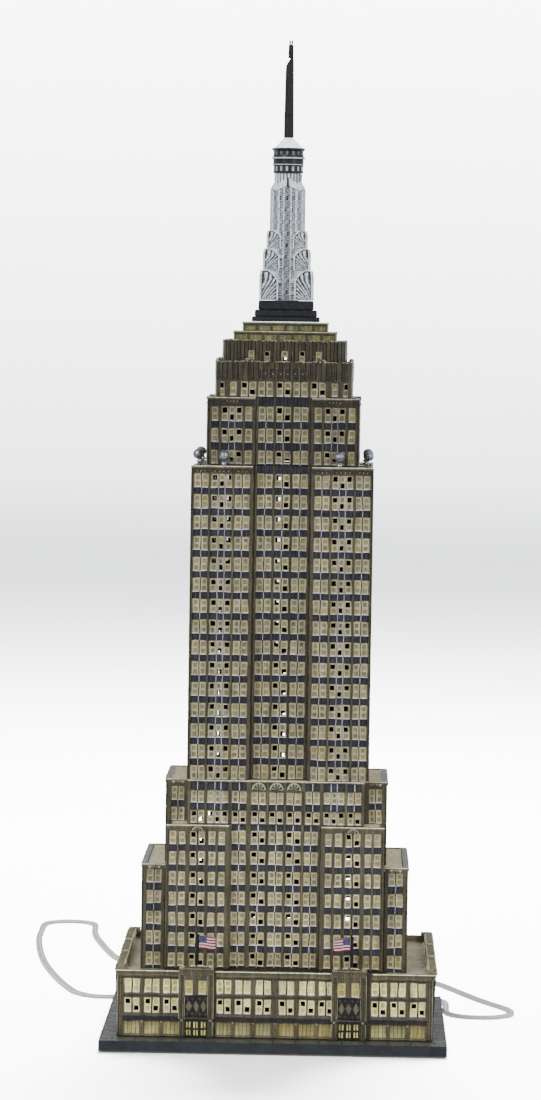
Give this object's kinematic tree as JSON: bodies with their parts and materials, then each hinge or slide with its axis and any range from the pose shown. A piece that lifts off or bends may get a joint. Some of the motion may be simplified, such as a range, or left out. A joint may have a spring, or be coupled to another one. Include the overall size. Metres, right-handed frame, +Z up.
{
  "type": "miniature landmark model",
  "caption": "Lit porcelain skyscraper model on a slate plinth: stepped hollow tower, clear lift-out mast, turning flags and a clip-in rear lamp on a flat cord with switch and plug.",
  "frame": {"origin": "middle of the plinth's footprint, on the surface that the object stands on", "axes": "+Z up along the tower, front with the two entrances towards -Y, +X to the viewer's right"},
  "size_m": [0.3177, 0.5109, 0.5933],
  "materials": {
    "slate": "honed dark slate-grey",
    "felt": "thin black felt",
    "porcelain": "hand-painted olive-brown glaze with cream windows",
    "black_metal": "satin black paint",
    "silver": "bright plated",
    "clear_acrylic": "clear moulded acrylic",
    "white_plastic": "moulded off-white",
    "spring_steel": "bright strip",
    "brass": "nickel-brass",
    "bulb_glass": "frosted",
    "flag_paint": "hand-painted thin sheet",
    "cord_vinyl": "translucent white vinyl"
  },
  "bodies": {
    "building": {"plinth": "slate", "base_pad_front_left": "felt", "base_pad_front_right": "felt", "base_pad_rear_left": "felt", "base_pad_rear_right": "felt", "podium_shell": "porcelain", "entrance_pavilion_left": "porcelain", "entrance_pavilion_right": "porcelain", "lower_tower_shell": "porcelain", "tower_shaft_shell": "porcelain", "upper_shaft_shell": "porcelain", "crown_lower_shell": "porcelain", "crown_upper_shell": "porcelain", "mast_pedestal": "black_metal", "floodlight_front_left": "silver", "floodlight_front_right": "silver", "floodlight_rear_left": "silver", "floodlight_rear_right": "silver", "floodlight_left_front": "silver", "floodlight_left_rear": "silver", "floodlight_right_front": "silver", "floodlight_right_rear": "silver", "flag_base_left": "black_metal", "flag_base_right": "black_metal"},
    "mast": {"mast_body": "clear_acrylic", "lantern": "black_metal", "lantern_cap": "clear_acrylic", "antenna": "black_metal", "antenna_whip": "black_metal", "antenna_prong_left": "silver", "antenna_prong_right": "black_metal"},
    "left_flag": {"flag_pole_left": "black_metal", "flag_left": "flag_paint"},
    "right_flag": {"flag_pole_right": "black_metal", "flag_right": "flag_paint"},
    "lamp": {"lamp_holder": "white_plastic", "holder_spring_left": "spring_steel", "holder_spring_right": "spring_steel", "bulb_cap": "brass", "bulb_glass": "bulb_glass", "strain_relief": "white_plastic", "cord_lead": "cord_vinyl", "cord_run": "cord_vinyl", "cord_coil": "cord_vinyl", "switch_base": "white_plastic", "switch_cover": "white_plastic", "plug_body": "white_plastic", "plug_blade_left": "brass", "plug_blade_right": "brass"},
    "thumb_wheel": {"switch_wheel": "white_plastic"}
  },
  "joints": [
    {"name": "mast_lift", "type": "slide", "parent": "building", "child": "mast", "axis": [0, 0, 1], "range_m": [0, 0.03]},
    {"name": "left_flag_turn", "type": "hinge", "parent": "building", "child": "left_flag", "pos_m": [-0.0453, -0.066, 0.05], "axis": [0, 0, 1], "continuous": true},
    {"name": "right_flag_turn", "type": "hinge", "parent": "building", "child": "right_flag", "pos_m": [0.0453, -0.066, 0.05], "axis": [0, 0, 1], "continuous": true},
    {"name": "lamp_slide", "type": "slide", "parent": "building", "child": "lamp", "axis": [0, 1, 0], "range_m": [0, 0.075]},
    {"name": "switch_turn", "type": "hinge", "parent": "lamp", "child": "thumb_wheel", "pos_m": [-0.038, 0.2131, 0.0063], "axis": [0, 0, 1], "continuous": true}
  ]
}
